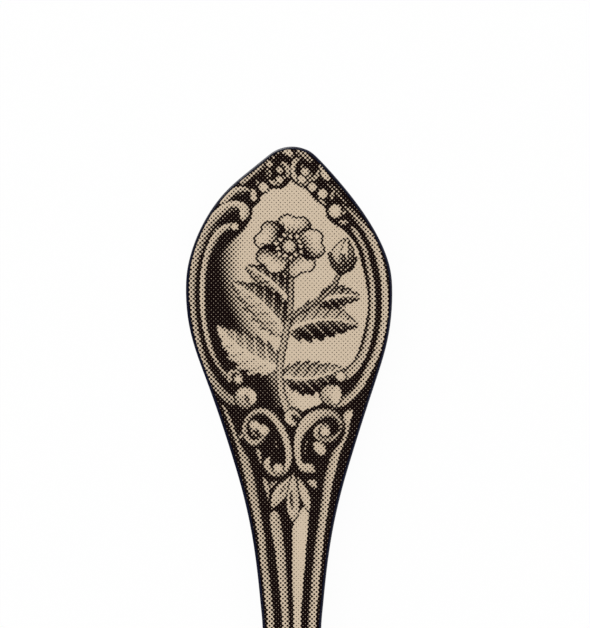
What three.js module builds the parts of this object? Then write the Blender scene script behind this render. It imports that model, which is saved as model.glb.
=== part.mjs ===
import * as THREE from "three";
import { mergeVertices } from "three/addons/utils/BufferGeometryUtils.js";

// Serving spoon pressed from melamine in two colours: a navy back that carries the rim all round, a cream
// face let into it, and two printed foils fused on the face, one on the handle and one in the bowl.
// Millimetres, with the spoon lying on a table face up: +Z is up and +Y runs to the handle's tip. The
// origin is on the table, under the middle of the spoon's length and on the stem's centre line.

// Lengths along the spoon
const overallLength = 236;
const headPeak = 17.2; // from the handle's tip to its widest place
const headFlare = 39.8; // from the tip to where the taper begins to ease into the stem
const headLength = 59.4; // from the tip to where it has become the stem
const headFlat = 44; // from the tip to where the flat back begins to lift off the table
const waistFromHead = 26; // from there to the stem's narrowest place
const bowlLength = 69;
const bowlPeak = 40; // from the bowl's tip to its widest and deepest place

// Widths across the spoon; the head's left shoulder is fuller than its right one
const tipRadius = 4.4;
const leftShoulderRun = 5.3; // length of the straight shoulder
const rightShoulderRun = 0.8;
const leftHead = 13.1; // half width at the widest place
const rightHead = 12.4;
const flareWidth = 13.8;
const stemTopWidth = 7.2;
const waistWidth = 6.6;
const neckWidth = 8.6;
const bowlWidth = 44;

// Angles from straight across, in radians
const leftShoulderAngle = THREE.MathUtils.degToRad(39);
const rightShoulderAngle = THREE.MathUtils.degToRad(47);
const rimTilt = THREE.MathUtils.degToRad(2.5); // the bowl's rim falls towards its tip

// Heights and walls
const headThickness = 3.4;
const stemThickness = 4.4;
const bowlDepth = 10;
const bowlWall = 2.9;
const footCut = 0.3; // depth of the flat under the bowl, on which the spoon rests
const rimWidth = 0.3; // the navy edge round the face, which eases off towards the outline
const rimDrop = 0.05; // how far it falls there
const undersideRound = 1.5; // width of the rounding under the edge
const faceThickness = 0.9;
const foilThickness = 0.15;
const bondLine = 0.05; // gap on every face where two layers meet
const foilGap = 0.6; // cream strip between the two foils at the neck

// How the outline and the walls are shaped between those sizes
const shoulderLeadShare = 0.34;
const peakLeadShare = 0.35;
const peakTrailShare = 0.35;
const flareLeadShare = 0.7;
const stemLeadShare = 0.38;
const taperShare = 0.3; // width lost for each length, at the flare
const settleShare = 0.09; // the same at the top of the stem
const neckLeadShare = 0.26;
const bowlShoulderShare = 0.77;
const bowlTipLeadShare = 0.5;
const bowlTipWidthShare = 0.52;
const wallShare = 0.4; // share of the edge's height that is above the underside's rounding
const rimThinShare = 0.3; // share of the wall that is lost at the bowl's rim
const columnShares = [-0.8, -0.56, -0.34, -0.12, 0.12, 0.34, 0.56, 0.8];
const roundingShares = [1 / 3, 2 / 3];

// Steps along each stretch of the outline
const tipSteps = 3;
const shoulderSteps = 2;
const headSteps = 6;
const flareSteps = 6;
const taperSteps = 9;
const waistSteps = 5;
const neckSteps = 9;
const bowlShoulderSteps = 11;
const bowlTipSteps = 13;
const fineSteps = 60; // for reading a width off a curve

const neckStation = overallLength - bowlLength;
const deepStation = overallLength - bowlPeak;
const recessDepth = faceThickness + foilThickness + 2 * bondLine;
const faceInset = rimWidth + bondLine;

// One side of the outline as curves of (half width, distance from the handle's tip).
function sideCurves(shoulderRun, angle, head) {
  const shoulderWay = new THREE.Vector2(Math.cos(angle), Math.sin(angle));
  const tipEnd = new THREE.Vector2(tipRadius * shoulderWay.y, tipRadius * (1 - shoulderWay.x));
  const shoulderEnd = tipEnd.clone().addScaledVector(shoulderWay, shoulderRun);
  const rise = headPeak - shoulderEnd.y;
  const fall = headFlare - headPeak;
  const taper = (headLength - headFlare) * stemLeadShare;
  const flare = flareWidth / 2;
  const stemTop = stemTopWidth / 2;
  const waist = waistWidth / 2;
  const neck = neckWidth / 2;
  const bowl = bowlWidth / 2;
  const waistStation = headLength + waistFromHead;
  const upperStem = waistFromHead / 2;
  const lowerStem = (neckStation - waistStation) / 2;
  const bowlRise = deepStation - neckStation;
  const bezier = (...numbers) => {
    const points = [0, 2, 4, 6].map((i) => new THREE.Vector2(numbers[i], numbers[i + 1]));
    return new THREE.CubicBezierCurve(...points);
  };
  return [
    [tipSteps, new THREE.EllipseCurve(0, tipRadius, tipRadius, tipRadius, -Math.PI / 2, angle - Math.PI / 2)],
    [shoulderSteps, new THREE.LineCurve(tipEnd, shoulderEnd)],
    [
      headSteps,
      bezier(
        shoulderEnd.x,
        shoulderEnd.y,
        shoulderEnd.x + rise * shoulderLeadShare * shoulderWay.x,
        shoulderEnd.y + rise * shoulderLeadShare * shoulderWay.y,
        head,
        headPeak - rise * peakLeadShare,
        head,
        headPeak,
      ),
    ],
    [
      flareSteps,
      bezier(
        head,
        headPeak,
        head,
        headPeak + fall * peakTrailShare,
        flare + fall * flareLeadShare * taperShare,
        headFlare - fall * flareLeadShare,
        flare,
        headFlare,
      ),
    ],
    [
      taperSteps,
      bezier(
        flare,
        headFlare,
        flare - taper * taperShare,
        headFlare + taper,
        stemTop + taper * settleShare,
        headLength - taper,
        stemTop,
        headLength,
      ),
    ],
    [
      waistSteps,
      bezier(
        stemTop,
        headLength,
        waist,
        headLength + upperStem,
        waist,
        waistStation - upperStem,
        waist,
        waistStation,
      ),
    ],
    [
      neckSteps,
      bezier(
        waist,
        waistStation,
        waist,
        waistStation + lowerStem,
        neck,
        neckStation - lowerStem,
        neck,
        neckStation,
      ),
    ],
    [
      bowlShoulderSteps,
      bezier(
        neck,
        neckStation,
        neck,
        neckStation + bowlRise * neckLeadShare,
        bowl,
        deepStation - bowlRise * bowlShoulderShare,
        bowl,
        deepStation,
      ),
    ],
    [
      bowlTipSteps,
      bezier(
        bowl,
        deepStation,
        bowl,
        deepStation + bowlPeak * bowlTipLeadShare,
        bowl * bowlTipWidthShare,
        overallLength,
        0,
        overallLength,
      ),
    ],
  ];
}

const leftCurves = sideCurves(leftShoulderRun, leftShoulderAngle, leftHead);
const rightCurves = sideCurves(rightShoulderRun, rightShoulderAngle, rightHead);
const finePoints = (curves) => curves.flatMap(([, curve]) => curve.getPoints(fineSteps));
const leftFine = finePoints(leftCurves);
const rightFine = finePoints(rightCurves);

// Half width of one side at a distance from the handle's tip.
function widthAt(points, distance) {
  const next = points.findIndex((point, i) => i > 0 && point.y >= distance && point.y > points[i - 1].y);
  if (next < 0) return 0;
  const before = points[next - 1];
  const share = (distance - before.y) / (points[next].y - before.y);
  return Math.max(0, before.x + (points[next].x - before.x) * share);
}

// Distances from the handle's tip at which the surfaces have a row of points. The neck has two, a foil gap
// apart, where one foil ends and the next begins.
function stationList() {
  const spaced = leftCurves.map(([steps, curve]) => curve.getSpacedPoints(steps).slice(1));
  const distances = spaced.flat().map((point) => point.y);
  return [0, ...distances, neckStation + foilGap].sort((a, b) => a - b);
}

const stations = stationList();
const lastRow = stations.length - 1;
const handleLastRow = stations.indexOf(neckStation);
const bowlFirstRow = stations.indexOf(neckStation + foilGap);

// The outline's two points in each row, with the directions that point inwards from them.
function outlineRows() {
  const rows = stations.map((distance) => ({
    left: new THREE.Vector2(-widthAt(leftFine, distance), distance),
    right: new THREE.Vector2(widthAt(rightFine, distance), distance),
  }));
  rows.forEach((row, i) => {
    const before = rows[Math.max(0, i - 1)];
    const after = rows[Math.min(lastRow, i + 1)];
    const isTip = i === 0 || i === lastRow;
    const along = new THREE.Vector2(0, i === 0 ? 1 : -1);
    const leftRun = after.left.clone().sub(before.left).normalize();
    const rightRun = after.right.clone().sub(before.right).normalize();
    row.leftInward = isTip ? along : new THREE.Vector2(leftRun.y, -leftRun.x);
    row.rightInward = isTip ? along : new THREE.Vector2(-rightRun.y, rightRun.x);
  });
  return rows;
}

const rows = outlineRows();

const smooth = (share) => THREE.MathUtils.smoothstep(share, 0, 1);

// Height of the rim line above the table: flat under the head, one long curve along the stem, and a
// tilted plane round the bowl.
function rimHeight(distance) {
  const slope = -Math.tan(rimTilt);
  const onPlane = (at) => bowlDepth + bowlWall - footCut + slope * (at - deepStation);
  if (distance <= headFlat) return headThickness;
  if (distance >= neckStation) return onPlane(distance);
  const run = neckStation - headFlat;
  const t = (distance - headFlat) / run;
  const start = 2 * t ** 3 - 3 * t ** 2 + 1;
  const end = 3 * t ** 2 - 2 * t ** 3;
  const endSlope = t ** 3 - t ** 2;
  return start * headThickness + end * onPlane(neckStation) + endSlope * run * slope;
}

// Share of the bowl's depth at a distance, and how far across the bowl a point is, 0 at the middle.
function hollowShare(distance) {
  if (distance <= neckStation) return 0;
  if (distance <= deepStation) return smooth((distance - neckStation) / (deepStation - neckStation));
  return 1 - ((distance - deepStation) / bowlPeak) ** 2;
}

function acrossShare(x, distance) {
  const half = widthAt(x < 0 ? leftFine : rightFine, distance);
  return half > 0 ? Math.min(1, Math.abs(x) / half) : 1;
}

function faceHeight(x, distance) {
  const hollow = bowlDepth * hollowShare(distance);
  return rimHeight(distance) - hollow * (1 - acrossShare(x, distance) ** 2);
}

// Upright thickness at a point. Walls on a slope are thicker upright, so that they stay even.
function thickness(x, distance) {
  const lift = smooth((distance - headFlat) / (headLength + waistFromHead - headFlat));
  const sink = smooth((distance - neckStation) / (deepStation - neckStation));
  const handle = headThickness + (stemThickness - headThickness) * lift;
  const middle = handle + (bowlWall - handle) * sink;
  const even = middle * (1 - rimThinShare * sink * acrossShare(x, distance) ** 2);
  const hollow = bowlDepth * hollowShare(distance);
  const half = widthAt(x < 0 ? leftFine : rightFine, distance);
  const slope = half > 0 ? (2 * hollow * acrossShare(x, distance)) / half : 0;
  return even * Math.sqrt(1 + Math.min(1, slope) ** 2);
}

// Heights of the layers, from the top down, as functions of (x, distance).
const foilTop = faceHeight;
const foilBottom = (x, distance) => faceHeight(x, distance) - foilThickness;
const faceTop = (x, distance) => foilBottom(x, distance) - bondLine;
const faceBottom = (x, distance) => faceTop(x, distance) - faceThickness;
const recessFloor = (x, distance) => faceHeight(x, distance) - recessDepth;
const underside = (x, distance) => Math.max(0, faceHeight(x, distance) - thickness(x, distance));

// Heights on the edge's two roundings, 0 at the outline and 1 where a rounding ends. Between them the edge
// is upright.
const crown = (share) => (x, distance) => faceHeight(x, distance) - rimDrop * (1 - Math.sin((share * Math.PI) / 2));
const belly = (share) => (x, distance) => {
  const lowest = underside(x, distance);
  const foot = faceHeight(x, distance) - thickness(x, distance) * wallShare;
  return foot - (foot - lowest) * Math.sin((share * Math.PI) / 2);
};
const roundInset = (share, width) => width * (1 - Math.cos((share * Math.PI) / 2));

// A surface as rows of points. Its profile lists (inset from the outline, height) from the edge inwards.
function surface(profile, first, last) {
  const place = (flat, height) => {
    const z = height(flat.x, flat.y);
    return new THREE.Vector3(flat.x, overallLength / 2 - flat.y, z);
  };
  return rows.slice(first, last + 1).map((row) => {
    const leftAt = (inset) => row.left.clone().addScaledVector(row.leftInward, inset);
    const rightAt = (inset) => row.right.clone().addScaledVector(row.rightInward, inset);
    const [innerInset, innerHeight] = profile[profile.length - 1];
    const left = leftAt(innerInset);
    const right = rightAt(innerInset);
    const middle = columnShares.map((share) => left.clone().lerp(right, (share + 1) / 2));
    return [
      ...profile.map(([inset, height]) => place(leftAt(inset), height)),
      ...middle.map((flat) => place(flat, innerHeight)),
      ...[...profile].reverse().map(([inset, height]) => place(rightAt(inset), height)),
    ];
  });
}

// Adds the triangles between two lines of points, and leaves out those with no area.
function stitch(triangles, line, nextLine, flipped) {
  const put = (a, b, c) => {
    if (a.equals(b) || b.equals(c) || c.equals(a)) return;
    triangles.push(...(flipped ? [a, c, b] : [a, b, c]));
  };
  for (let i = 0; i + 1 < line.length; i++) {
    const [a, b, c, d] = [line[i], line[i + 1], nextLine[i + 1], nextLine[i]];
    if (i < line.length / 2 - 1) {
      put(a, d, c);
      put(a, c, b);
    } else {
      put(a, d, b);
      put(d, c, b);
    }
  }
}

// A closed solid between a top and a bottom surface, whose edges meet. A cut end is closed across a row.
function layer(topProfile, bottomProfile, first, last) {
  const top = surface(topProfile, first, last);
  const bottom = surface(bottomProfile, first, last);
  const triangles = [];
  for (let i = 0; i + 1 < top.length; i++) {
    stitch(triangles, top[i], top[i + 1], false);
    stitch(triangles, bottom[i], bottom[i + 1], true);
  }
  if (first > 0) stitch(triangles, bottom[0], top[0], false);
  if (last < lastRow) stitch(triangles, top[top.length - 1], bottom[bottom.length - 1], false);
  const geometry = new THREE.BufferGeometry().setFromPoints(triangles);
  return mergeVertices(geometry, bondLine / 100);
}

// The navy back: rounded rim and underside, with the recess for the face sunk into its top.
function backMoulding() {
  const top = [
    [0, crown(0)],
    ...roundingShares.map((share) => [roundInset(share, rimWidth), crown(share)]),
    [rimWidth, faceHeight],
    [rimWidth, recessFloor],
    [undersideRound, recessFloor],
  ];
  const bottom = [
    [0, crown(0)],
    [0, belly(0)],
    ...roundingShares.map((share) => [roundInset(share, undersideRound), belly(share)]),
    [undersideRound, underside],
  ];
  return layer(top, bottom, 0, lastRow);
}

// A layer of even thickness that fills the recess from side to side.
function inlay(topHeight, bottomHeight, first, last) {
  const top = [
    [faceInset, bottomHeight],
    [faceInset, topHeight],
    [undersideRound, topHeight],
  ];
  const bottom = [
    [faceInset, bottomHeight],
    [faceInset, bottomHeight],
    [undersideRound, bottomHeight],
  ];
  return layer(top, bottom, first, last);
}

const navyMelamine = new THREE.MeshStandardMaterial({ color: 0x090e30, roughness: 0.18, metalness: 0 });
const creamMelamine = new THREE.MeshStandardMaterial({ color: 0xd9c6ad, roughness: 0.22, metalness: 0 });
const printedFoil = new THREE.MeshStandardMaterial({ color: 0x8f8271, roughness: 0.25, metalness: 0 });

const pieces = [
  ["back_moulding", backMoulding(), navyMelamine],
  ["face_moulding", inlay(faceTop, faceBottom, 0, lastRow), creamMelamine],
  ["handle_foil", inlay(foilTop, foilBottom, 0, handleLastRow), printedFoil],
  ["bowl_foil", inlay(foilTop, foilBottom, bowlFirstRow, lastRow), printedFoil],
];

const spoon = new THREE.Group();
for (const [name, geometry, material] of pieces) {
  const mesh = new THREE.Mesh(geometry, material);
  mesh.name = name;
  spoon.add(mesh);
}

export default spoon;
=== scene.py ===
import math

import bpy
import numpy as np
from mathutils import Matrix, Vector
from mathutils.kdtree import KDTree


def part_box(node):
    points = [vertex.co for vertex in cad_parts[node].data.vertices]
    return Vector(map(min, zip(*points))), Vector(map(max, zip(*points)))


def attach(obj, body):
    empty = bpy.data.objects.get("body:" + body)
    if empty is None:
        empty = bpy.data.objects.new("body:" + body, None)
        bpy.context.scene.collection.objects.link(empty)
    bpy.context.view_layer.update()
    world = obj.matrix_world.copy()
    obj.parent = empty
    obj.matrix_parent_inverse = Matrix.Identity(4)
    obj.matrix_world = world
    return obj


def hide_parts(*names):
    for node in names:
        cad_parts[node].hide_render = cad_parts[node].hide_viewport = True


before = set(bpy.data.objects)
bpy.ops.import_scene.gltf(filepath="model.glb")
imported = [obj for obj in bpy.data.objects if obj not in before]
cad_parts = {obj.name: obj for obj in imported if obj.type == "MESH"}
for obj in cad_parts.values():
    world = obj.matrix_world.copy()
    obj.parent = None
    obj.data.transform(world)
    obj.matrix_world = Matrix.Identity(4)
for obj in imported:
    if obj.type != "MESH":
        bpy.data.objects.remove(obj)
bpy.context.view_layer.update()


# The navy back
# The spoon is pressed from melamine in two shots. The first is this navy back: it carries the rounded rim
# round the whole outline, the underside and the outside of the bowl. It leaves the press with a hard gloss.

# Lengths are in metres, here and further down, unless a comment says otherwise.
MERGE_GAP = 1e-6
SHARP_ANGLE = math.radians(40)
QUAD_FOLD = 0.6
ROUNDING_LEVELS = 2
REACH_SHARE = 0.76
NAVY = "070b2b"
NAVY_DEEP = "040716"
MELAMINE_IOR = 1.58
NAVY_ROUGHNESS = (0.13, 0.24)
SWIRL_WIDTH = 0.009
SWIRL_DETAIL = 3
SWIRL_TWIST = 1.2
MOULD_RIPPLE = 0.0016
RIPPLE_DETAIL = 2
RIPPLE_DEPTH = 4e-6


def linear(colour):
    """Linear RGBA from an sRGB hex colour."""
    shares = [int(colour[i : i + 2], 16) / 255 for i in (0, 2, 4)]
    return [s / 12.92 if s <= 0.04045 else ((s + 0.055) / 1.055) ** 2.4 for s in shares] + [1]


def add_node(tree, kind, sockets=None, **settings):
    """Adds a node. A socket takes a value or another node's output."""
    made = tree.nodes.new(kind)
    for name, value in settings.items():
        setattr(made, name, value)
    for socket, value in (sockets or {}).items():
        if isinstance(value, bpy.types.NodeSocket):
            tree.links.new(value, made.inputs[socket])
        else:
            made.inputs[socket].default_value = value
    return made


def new_material(name):
    """An empty material with its node tree and output."""
    material = bpy.data.materials.new(name)
    material.use_nodes = True
    material.node_tree.nodes.clear()
    return material, material.node_tree


def edit_only(piece):
    """Selects one piece, and nothing else, for the operators that follow."""
    bpy.ops.object.select_all(action="DESELECT")
    piece.select_set(True)
    bpy.context.view_layer.objects.active = piece


def keep_reach(piece):
    """Moves each vertex out by most of what the rounding will draw it in, so that the outline stays."""
    rounded = piece.evaluated_get(bpy.context.evaluated_depsgraph_get()).data
    for point, reached in zip(piece.data.vertices, rounded.vertices):
        short = point.co - reached.co
        point.co += REACH_SHARE * Vector((short.x, short.y, 0))
    piece.data.update()


def rounded_copy(node, name):
    """A piece made from a copy of a CAD node: merged, in quads, its corners creased and the rest rounded."""
    piece = bpy.data.objects.new(name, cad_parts[node].data.copy())
    piece.data.materials.clear()
    bpy.context.scene.collection.objects.link(piece)
    edit_only(piece)
    bpy.ops.mesh.customdata_custom_splitnormals_clear()
    bpy.ops.object.mode_set(mode="EDIT")
    bpy.ops.mesh.select_mode(type="EDGE")
    bpy.ops.mesh.select_all(action="SELECT")
    bpy.ops.mesh.remove_doubles(threshold=MERGE_GAP)
    bpy.ops.mesh.tris_convert_to_quads(face_threshold=QUAD_FOLD, shape_threshold=math.pi)
    bpy.ops.mesh.select_all(action="DESELECT")
    bpy.ops.mesh.edges_select_sharp(sharpness=SHARP_ANGLE)
    bpy.ops.transform.edge_crease(value=1)
    bpy.ops.object.mode_set(mode="OBJECT")
    rounding = piece.modifiers.new("rounding", "SUBSURF")
    rounding.levels = ROUNDING_LEVELS
    rounding.render_levels = ROUNDING_LEVELS
    keep_reach(piece)
    bpy.ops.object.modifier_apply(modifier=rounding.name)
    bpy.ops.object.shade_smooth_by_angle(angle=SHARP_ANGLE)
    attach(piece, "root")
    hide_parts(node)
    return piece


def mould_ripple(tree, place):
    """The normals of a moulded gloss, which the press leaves very slightly wavy."""
    ripple = add_node(
        tree,
        "ShaderNodeTexNoise",
        {"Vector": place, "Scale": 1 / MOULD_RIPPLE, "Detail": RIPPLE_DETAIL},
    )
    return add_node(
        tree,
        "ShaderNodeBump",
        {"Strength": 1, "Distance": RIPPLE_DEPTH, "Height": ripple.outputs["Fac"]},
    ).outputs["Normal"]


def navy_melamine():
    """Compression-moulded melamine in navy: deep and glossy, with a faint flow of the powder in it."""
    material, tree = new_material("navy_moulded_melamine")
    place = add_node(tree, "ShaderNodeTexCoord").outputs["Object"]
    swirl = add_node(
        tree,
        "ShaderNodeTexNoise",
        {"Vector": place, "Scale": 1 / SWIRL_WIDTH, "Detail": SWIRL_DETAIL, "Distortion": SWIRL_TWIST},
    )
    colour = add_node(
        tree,
        "ShaderNodeMix",
        {"Factor": swirl.outputs["Fac"], "A": linear(NAVY_DEEP), "B": linear(NAVY)},
        data_type="RGBA",
    )
    roughness = add_node(
        tree,
        "ShaderNodeMapRange",
        {"Value": swirl.outputs["Fac"], "To Min": NAVY_ROUGHNESS[0], "To Max": NAVY_ROUGHNESS[1]},
    )
    surface = add_node(
        tree,
        "ShaderNodeBsdfPrincipled",
        {
            "Base Color": colour.outputs["Result"],
            "Roughness": roughness.outputs["Result"],
            "Normal": mould_ripple(tree, place),
            "IOR": MELAMINE_IOR,
        },
    )
    add_node(tree, "ShaderNodeOutputMaterial", {"Surface": surface.outputs["BSDF"]})
    return material


navy_back = rounded_copy("back_moulding", "navy_back")
navy_back.data.materials.append(navy_melamine())


# The cream face
# The second shot of melamine fills the recess in the back from the tip of the handle to the tip of the
# bowl. The two printed foils cover it, all but a narrow strip across the neck, where it shows bare.

CREAM = "dfccb4"
CREAM_SHADE = "d3bfa5"
CREAM_ROUGHNESS = 0.22
MOTTLE_DETAIL = 5
MOTTLE_ROUGHNESS = 0.7


def cream_colour(tree, place):
    """The cream resin's colour, whose cellulose filler shows as a faint mottle."""
    mottle = add_node(
        tree,
        "ShaderNodeTexNoise",
        {
            "Vector": place,
            "Scale": 1 / SWIRL_WIDTH,
            "Detail": MOTTLE_DETAIL,
            "Roughness": MOTTLE_ROUGHNESS,
        },
    )
    return add_node(
        tree,
        "ShaderNodeMix",
        {"Factor": mottle.outputs["Fac"], "A": linear(CREAM_SHADE), "B": linear(CREAM)},
        data_type="RGBA",
    ).outputs["Result"]


def cream_melamine():
    """The same moulded resin in cream, polished by the press."""
    material, tree = new_material("cream_moulded_melamine")
    place = add_node(tree, "ShaderNodeTexCoord").outputs["Object"]
    surface = add_node(
        tree,
        "ShaderNodeBsdfPrincipled",
        {"Base Color": cream_colour(tree, place), "Roughness": CREAM_ROUGHNESS, "IOR": MELAMINE_IOR},
    )
    add_node(tree, "ShaderNodeOutputMaterial", {"Surface": surface.outputs["BSDF"]})
    return material


cream_face = rounded_copy("face_moulding", "cream_face")
cream_face.data.materials.append(cream_melamine())


# The handle's print
# A resin-filled foil, printed in one warm black through a coarse dot screen and fused on the cream face
# under a clear glaze. The drawing is kept as a tone at each point of the mesh, which the screen turns to
# dots. Its strokes are placed in the photograph's own pixels, as (column, row, half width, tone).

# A pixel of the photograph is this long on the spoon. The centre line, the tip and the end of the head lie
# at this column and these rows.
PIXEL = 0.1235e-3
CENTRE_COLUMN = 291.9
TIP_ROW = 146.5
HEAD_ROW = 632

# The least rise of a face's normal on the flat top and the most on a wall, and the cuts that refine the top.
TOP_FACING = 0.8
WALL_FACING = 0.3
HEAD_CUTS = 3
STEM_CUTS = 1

# The drawing. A tone runs from 0, bare ground, to 1, solid ink, and widths are in pixels.
DARK_TONE = 0.985
CURVE_STEPS = 6
EDGE_SOFTNESS = 1.3
HALF_COVER = 0.5
OUTLINE_WIDTH = 1.1
BAND_ROUNDING = 0.16
LEFT_RELIEF = 0.4
RIGHT_RELIEF = -0.2
SMALL_RELIEF = 0.14
BALL_ROUNDING = 0.42
BALL_RELIEF = 0.05
BALL_STEP = 0.5
LIGHT_FROM = np.array([-0.6, -0.8])

# The dot screen, whose level is the sum of two crossed waves, brought between 0 and 1.
INCH = 25.4e-3
SCREEN_RULING = 65
SCREEN_PITCH = INCH / SCREEN_RULING
SCREEN_ANGLE = math.radians(45)
SCREEN_MIDDLE = 0.5
SCREEN_SWING = 0.25
SCREEN_EDGE = 7.0
SCREEN_STEPS = 128
INK = "0f0303"
DOT_GAIN = 0.1
DOT_RAGGEDNESS = 0.08
DOT_GRAIN = 0.00015
GRAIN_DETAIL = 2
FOIL_ROUGHNESS = 0.5
GLAZE_ROUGHNESS = 0.08
GLAZE_IOR = 1.5

# The maps for baking. The handle's is cut into strips, and its breaks are distances from the tip.
MAP_NAME = "OFBake"
MAP_MARGIN = 0.0007
UNDERSIDE_SCALE = 1 / 3
HANDLE_BREAKS = [0.0559, 0.1114]
HANDLE_MAP_SIDE = 0.0577

tip_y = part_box("back_moulding")[1].y


def face_centres(piece):
    """The centre and the normal of each face, as arrays."""
    faces = piece.data.polygons
    centres = np.empty(len(faces) * 3)
    normals = np.empty(len(faces) * 3)
    faces.foreach_get("center", centres)
    faces.foreach_get("normal", normals)
    return centres.reshape(-1, 3), normals.reshape(-1, 3)


def refine(piece, chosen, cuts):
    """Splits the chosen faces into smaller ones, which lie in the same surface."""
    edit_only(piece)
    bpy.ops.object.mode_set(mode="EDIT")
    bpy.ops.mesh.select_mode(type="FACE")
    bpy.ops.mesh.select_all(action="DESELECT")
    bpy.ops.object.mode_set(mode="OBJECT")
    piece.data.polygons.foreach_set("select", chosen)
    bpy.ops.object.mode_set(mode="EDIT")
    bpy.ops.mesh.subdivide(number_cuts=cuts)
    bpy.ops.object.mode_set(mode="OBJECT")


def print_points(piece):
    """Each vertex of a piece as a (column, row) of the photograph, continued past its lower edge."""
    points = np.empty(len(piece.data.vertices) * 3)
    piece.data.vertices.foreach_get("co", points)
    points = points.reshape(-1, 3)
    return np.column_stack([CENTRE_COLUMN + points[:, 0] / PIXEL, TIP_ROW + (tip_y - points[:, 1]) / PIXEL])


def smooth_step(value, low, high):
    """0 below low, 1 above high and smooth between them."""
    share = np.clip((value - low) / (high - low), 0, 1)
    return share * share * (3 - 2 * share)


def curve(points):
    """A smooth line through the given points; every value of a point runs along it."""
    p = np.array(points, float)
    p = np.vstack([2 * p[0] - p[1], p, 2 * p[-1] - p[-2]])
    t = np.linspace(0, 1, CURVE_STEPS, endpoint=False)[:, None]
    spans = [
        b + 0.5 * t * (c - a + t * (2 * a - 5 * b + 4 * c - d + t * (3 * (b - c) + d - a)))
        for a, b, c, d in zip(p, p[1:], p[2:], p[3:])
    ]
    return np.vstack([*spans, p[-2]])


def cover(depth, softness=EDGE_SOFTNESS):
    """How much of a point a shape covers, from the point's depth inside the shape's edge, in pixels."""
    return np.clip(depth / softness + HALF_COVER, 0, 1)


def lay(canvas, chosen, depth, tone, outline=OUTLINE_WIDTH, ink=DARK_TONE):
    """Lays a shape over the drawing at the chosen points, with an inked line round it."""
    tones = canvas[1]
    line = cover(depth + outline)
    inside = cover(depth)
    lined = tones[chosen] * (1 - line) + ink * line
    tones[chosen] = lined * (1 - inside) + np.clip(tone, 0, 1) * inside


def stroke(canvas, points, relief=0.0, rounding=BAND_ROUNDING, outline=OUTLINE_WIDTH):
    """Paints a moulding along a line, darker towards its edges and lit from the upper left."""
    spots = canvas[0]
    line = curve(points)
    reach = line[:, 2].max() + outline + EDGE_SOFTNESS
    low = line[:, :2].min(0) - reach
    high = line[:, :2].max(0) + reach
    near = np.nonzero(((spots > low) & (spots < high)).all(1))[0]
    here = spots[near]
    gap = np.full(len(near), np.inf)
    offset = np.zeros((len(near), 2))
    half = np.ones(len(near))
    tone = np.ones(len(near))
    for start, end in zip(line, line[1:]):
        run = end[:2] - start[:2]
        share = np.clip(((here - start[:2]) @ run) / (run @ run), 0, 1)
        away = here - start[:2] - share[:, None] * run
        width = start[2] + share * (end[2] - start[2])
        distance = np.hypot(*away.T) - width
        closer = distance < gap
        gap = np.where(closer, distance, gap)
        offset = np.where(closer[:, None], away, offset)
        half = np.where(closer, width, half)
        tone = np.where(closer, start[3] + share * (end[3] - start[3]), tone)
    off = offset / half[:, None]
    body = tone - relief * (off @ LIGHT_FROM) + rounding * (off * off).sum(1)
    lay(canvas, near, -gap, body, outline)


def ball(canvas, column, row, radius, tone):
    """Paints a bead, whose light lies a little to the upper left."""
    ends = [(column, row, radius, tone), (column + BALL_STEP, row + BALL_STEP, radius, tone)]
    stroke(canvas, ends, BALL_RELIEF, BALL_ROUNDING)


# The picture field: its outline, and the line at which its shaded ground turns pale.
FIELD = [
    (291, 180.5), (286.5, 186), (281, 188.6), (273, 188.8), (268, 190.8), (264, 194.5), (261, 197),
    (260, 201), (256, 205), (252.8, 208), (252.5, 214), (249.5, 221.5), (245, 228.5), (238, 235.5),
    (226, 247), (214, 262), (208.5, 283), (208, 305),
    (210.5, 330), (217, 352), (229, 368), (244, 372), (252, 384), (259, 393), (260, 404), (271, 410),
    (281, 406.5), (285, 411), (289, 408), (294, 407.3), (299, 409), (302, 411.5), (307, 409), (314, 406.5),
    (322, 402.5), (319, 396), (318.5, 389), (324, 381.5), (331, 380.5), (334.5, 376), (337, 371),
    (344, 368.5), (351, 364.5), (356.5, 355), (361.5, 340), (366.2, 320), (368, 300), (365.3, 280),
    (361, 262), (357, 248.3), (351.3, 238.7), (344.6, 230.9), (337, 226.2), (331, 221.6), (326.7, 216.6),
    (325.5, 210.5), (322.8, 206), (317.5, 202.3), (312.5, 197.3), (308, 192), (304, 188.3), (299.5, 186.6),
    (295, 184),
]
GROUND_TONE = 0.14
LOW_GROUND_TONE = 0.1
LOW_GROUND_ROWS = (330, 400)
SHADE_EDGE = [
    (243, 215), (235, 235), (231, 255), (233, 280), (240, 305), (251, 330), (265, 355), (277, 378),
    (284, 395), (289, 412),
]
SHADE_SOFTNESS = 15


def paint_field(canvas):
    """The ground of the picture: pale, paler still low down, and shaded to black at the lower left."""
    spots = canvas[0]
    line = curve([*FIELD, FIELD[0]])
    inside = np.zeros(len(spots), bool)
    gap = np.full(len(spots), np.inf)
    for start, end in zip(line, line[1:]):
        run = end - start
        crosses = (start[1] > spots[:, 1]) != (end[1] > spots[:, 1])
        column = start[0] + (spots[:, 1] - start[1]) * run[0] / (run[1] or 1)
        inside ^= crosses & (spots[:, 0] < column)
        share = np.clip(((spots - start) @ run) / (run @ run), 0, 1)
        gap = np.minimum(gap, np.hypot(*(spots - start - share[:, None] * run).T))
    edge = curve(SHADE_EDGE)
    shade_edge = np.interp(spots[:, 1], edge[:, 1], edge[:, 0])
    lit = smooth_step(spots[:, 0], shade_edge - SHADE_SOFTNESS, shade_edge + SHADE_SOFTNESS)
    pale = GROUND_TONE + (LOW_GROUND_TONE - GROUND_TONE) * smooth_step(spots[:, 1], *LOW_GROUND_ROWS)
    lay(canvas, slice(None), np.where(inside, gap, -gap), DARK_TONE + (pale - DARK_TONE) * lit, outline=0)


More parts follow.
